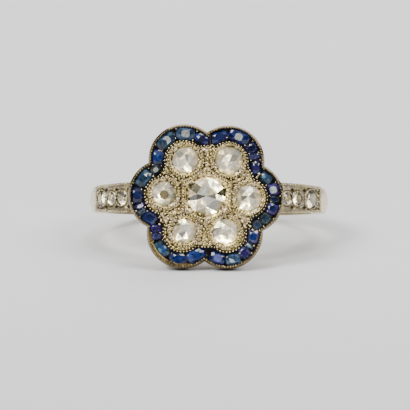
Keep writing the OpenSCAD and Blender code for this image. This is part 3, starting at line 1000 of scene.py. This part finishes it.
CREST_R = (CHANNEL_R + LOBE_R - RIM_BEVEL) / 2
rim_line = flower_line(CREST_R, 0, RIM_BEAD_PITCH)
beads("rim_millegrain", uneven(rim_line, 0.01, RIM_BEAD_R), rim_gold)
inner_line = flower_line(PETAL_R - 0.05, CORE_R - 0.05, CHANNEL_BEAD_PITCH)
beads("channel_millegrain", uneven(inner_line, GROUND_H + BEAD_LIFT, CHANNEL_BEAD_R), bead_gold)
petal_spots = []
for centre, d in STONES_ON_FACE[1:]:
    crest_line = ring_line(centre, d / 2 + COLLET_CREST, BEAD_PITCH)
    petal_spots += uneven(crest_line, COLLET_H + BEAD_LIFT, COLLET_BEAD_R)
beads("petal_millegrain", petal_spots, bead_gold)
cell_spots = uneven(cell_line(CELL_APOTHEM - 0.03, BEAD_PITCH), CELL_H + BEAD_LIFT, CELL_BEAD_R)
beads("cell_millegrain", cell_spots, bead_gold)


def rubbed_edge(centre, inner_r, start, stop):
    """Edge of metal pushed in over the channel's stones along one lobe, from a direction to another."""
    steps = (stop - start) // 2
    full = CHANNEL_R + 0.02 - inner_r
    profile = [(0.0, -0.14), (0.03, -0.04), (0.09, 0.0), (0.16, -0.01), (full, -0.01)]
    wide = len(profile)
    points, faces = [], []
    for k in range(steps + 1):
        taper = 1 - min(k, steps - k, 8) / 8
        for out, z in profile:
            r = inner_r + out + (full - out) * taper + by_hand.uniform(-0.015, 0.015)
            points.append((*polar(start + 2 * k, r, centre), z + by_hand.uniform(-0.012, 0.012)))
    for k in range(steps):
        for j in range(wide - 1):
            a = k * wide + j
            faces.append((a, a + 1, a + wide + 1, a + wide))
    new_piece("rubbed_edge", points, faces, ON_HEAD, rim_gold)


LOWER_LEFT = LOBES[4]
rubbed_edge(LOWER_LEFT, 2.50, 170, 294)
edge_line = [polar(a, 2.64, LOWER_LEFT) for a in range(182, 284, 5)]
beads("rubbed_edge_millegrain", uneven(edge_line, 0.0, 0.065, 0.25, 0.035), rim_gold)


def loose_grains(tries, spacing):
    """Grains of metal raised here and there on the ground between the collets."""
    spots = []
    for _ in range(tries):
        x, y = by_hand.uniform(-5, 5), by_hand.uniform(-5, 5)
        in_petal = any(math.dist((x, y), c) < PETAL_R - 0.15 for c in LOBES)
        on_ground = in_petal or math.hypot(x, y) < CORE_R - 0.15
        in_cell = cell_edge(np.array(x), np.array(y)) < CELL_APOTHEM + 0.05
        in_corner = in_cell and math.hypot(x, y) > CENTRE_D / 2 + CELL_CREST + 0.1
        clear = all(math.dist((x, y), c) > d / 2 + COLLET_CREST + 0.08 for c, d in STONES_ON_FACE[1:])
        alone = all(math.dist((x, y), spot[:2]) > spacing for spot in spots)
        if on_ground and clear and alone and (in_corner or not in_cell):
            z = (CELL_H if in_corner else GROUND_H) + 0.11
            spots.append((x, y, z, by_hand.uniform(0.055, 0.125)))
    return spots


beads("ground_grains", loose_grains(9000, 0.22), bead_gold)
claw_spots = around((0, 0), CENTRE_D / 2 + 0.03, 14, CENTRE_SEAT_H + 0.08, 0.1)
for centre, d in STONES_ON_FACE[1:]:
    claw_spots += around(centre, d / 2 + 0.02, 11, PETAL_SEAT_H + 0.05, 0.08, by_hand.uniform(0, 30))
beads("setting_grains", claw_spots, bead_gold)

# Larger grains in the notches of the channel: across, up, height and radius
NOTCH_GRAINS = [
    (4.0, 2.82, 0.0, 0.12), (4.3, 1.86, -0.02, 0.12), (4.12, 1.56, 0.0, 0.11), (3.6, -2.42, 0.0, 0.13),
    (3.79, -2.72, -0.02, 0.11), (-3.7, -2.0, 0.0, 0.12), (-3.83, -2.3, -0.02, 0.1),
]
channel_spots = []
for at, length in channel_places:
    for side in (-1, 1):
        x, y, _ = at @ Vector((side * by_hand.uniform(0.34, 0.46), length / 2 + 0.04, 0))
        channel_spots.append((x, y, -0.08, by_hand.uniform(0.055, 0.08)))
beads("channel_grains", channel_spots + NOTCH_GRAINS, bead_gold)


def ridges(name, lines, width, top, foot):
    """Thin walls of metal along straight lines on the face."""
    points, faces = [], []
    for (x0, y0), (x1, y1) in lines:
        first = len(points)
        along = Vector((x1 - x0, y1 - y0)).normalized()
        across = Vector((-along.y, along.x)) * width / 2
        for x, y in ((x0, y0), (x1, y1)):
            points += [(x - across.x, y - across.y, foot), (x - across.x / 2, y - across.y / 2, top)]
            points += [(x + across.x / 2, y + across.y / 2, top), (x + across.x, y + across.y, foot)]
        sides = ((0, 1, 5, 4), (1, 2, 6, 5), (2, 3, 7, 6), (0, 3, 2, 1), (4, 5, 6, 7))
        faces += [tuple(first + k for k in side) for side in sides]
    new_piece(name, points, faces, ON_HEAD, rim_gold, smooth=False)


# The two walls across the channel, at the top and the bottom of the flower
DIVIDERS = [((0.30, 4.12), (0.28, 5.12)), ((0.06, -4.62), (0.02, -5.28))]
ridges("channel_dividers", DIVIDERS, width=0.14, top=-0.02, foot=-0.6)


def border_bead(a, z):
    """A bead on the border of a shoulder plate, at an angle off the head and a place across."""
    return (PLATE_R * math.sin(a), -PLATE_R * math.cos(a), z, BORDER_BEAD_R * by_hand.uniform(0.85, 1.1))


shoulder_spots = []
for angle in np.arange(PLATE_FROM + 1, PLATE_TO, math.degrees(BORDER_BEAD_PITCH / PLATE_R)):
    for side in (-1, 1):
        for edge in (-1, 1):
            a = math.radians(angle * side)
            shoulder_spots.append(border_bead(a, edge * (float(half_width(abs(a))) - BORDER_W / 2)))
for side in (-1, 1):
    a = side * (math.radians(PLATE_TO) - BORDER_W / 2 / PLATE_R)
    for z in np.arange(-0.95, 0.96, BORDER_BEAD_PITCH):
        shoulder_spots.append(border_bead(a, float(z)))
beads("shoulder_millegrain", shoulder_spots, field_gold, AS_IT_LIES)
for i, (angle, d, _) in enumerate(SHOULDER_DIAMONDS):
    spots = around((0, 0), d / 2 + 0.05, 9, 0.12, 0.07, 22.5)
    beads(f"shoulder_grains_{i + 1}", spots, field_gold, on_shank(angle, FIELD_R))


# Floor, light and camera
def pale_paper():
    """Matt paper with faint fibres, with painted shade that makes it a little dimmer towards the camera.
    """
    material, tree, shader = new_material("pale paper")
    shader.inputs["Roughness"].default_value = 0.9
    shader.inputs["Specular IOR Level"].default_value = 0.2
    where = node(tree, "ShaderNodeTexCoord").outputs["Object"]
    fibres = spread(tree, cloud(tree, where, 50.0, 4.0), 0.3, 0.7)
    pale = mix_colour(tree, fibres, (0.75, 0.75, 0.765, 1), (0.77, 0.77, 0.785, 1))
    # Painted shade: the paper darkens towards the camera
    backward = node(tree, "ShaderNodeSeparateXYZ", {0: where}).outputs["Y"]
    dimming = spread(tree, backward, -0.06, -0.024, 0.9, 1.0)
    plug(tree, shader.inputs["Base Color"], mix_colour(tree, 1.0, pale, dimming, "MULTIPLY"))
    return material


bpy.ops.mesh.primitive_plane_add(size=6, location=(0, 0, cad_box[0][2]))
floor = bpy.context.object
floor.name = "floor"
floor.data.materials.append(pale_paper())


def lamp(name, elevation, azimuth, strength, softness):
    """Distant soft light from a direction: azimuth 0 is the camera's side, 90 is the right."""
    light = bpy.data.lights.new(name, "SUN")
    light.energy = strength
    light.angle = math.radians(softness)
    e, a = math.radians(elevation), math.radians(azimuth)
    toward = Vector((math.sin(a) * math.cos(e), -math.cos(a) * math.cos(e), math.sin(e)))
    made = bpy.data.objects.new(name, light)
    made.rotation_euler = toward.to_track_quat("Z", "Y").to_euler()
    bpy.context.scene.collection.objects.link(made)


def studio_world(overhead, horizon, strength):
    """Soft light from above that fades towards the horizon."""
    world = bpy.data.worlds.new("studio")
    world.use_nodes = True
    tree = world.node_tree
    where = node(tree, "ShaderNodeTexCoord").outputs["Generated"]
    up = node(tree, "ShaderNodeSeparateXYZ", {0: where}).outputs["Z"]
    share = spread(tree, up, 0.15, 0.75)
    background = tree.nodes["Background"]
    plug(tree, background.inputs["Color"], mix_colour(tree, share, horizon, overhead))
    background.inputs["Strength"].default_value = strength
    bpy.context.scene.world = world


OVERHEAD = (1.0, 1.0, 1.0, 1)
HORIZON = (0.12, 0.12, 0.13, 1)
studio_world(OVERHEAD, HORIZON, 0.52)
lamp("top light", 78, 60, 0.5, 80)
lamp("spark light", 80, 90, 0.8, 16)
lamp("front light", 42, -44, 2.95, 24)
lamp("side light", 36, 50, 1.45, 22)
lamp("back light", 32, 166, 1.7, 60)

# The camera looks at the flower as the photo does, from a little above: angles, then metres
FACE_MIDDLE = ON_HEAD @ Vector((0, 0, 0))
VIEW_ELEVATION = math.radians(11.4)
VIEW_YAW = math.radians(1.1)
DISTANCE = 0.27
FRAME_WIDTH = 0.0336
AIM_DOWN = 0.0007
AIM_LEFT = 0.00012
camera_data = bpy.data.cameras.new("camera")
camera_data.sensor_width = 36
camera_data.lens = 36 * DISTANCE / FRAME_WIDTH
camera_data.clip_start = 0.01
camera_data.clip_end = 20
camera = bpy.data.objects.new("camera", camera_data)
yaw = Matrix.Rotation(VIEW_YAW, 3, "Z")
back = yaw @ Vector((0, -math.cos(VIEW_ELEVATION), math.sin(VIEW_ELEVATION)))
up = yaw @ Vector((0, math.sin(VIEW_ELEVATION), math.cos(VIEW_ELEVATION)))
aim = FACE_MIDDLE - up * AIM_DOWN - yaw @ Vector((1, 0, 0)) * AIM_LEFT
camera.location = aim + back * DISTANCE
camera.rotation_euler = (-back).to_track_quat("-Z", "Y").to_euler()
bpy.context.scene.collection.objects.link(camera)
bpy.context.scene.camera = camera
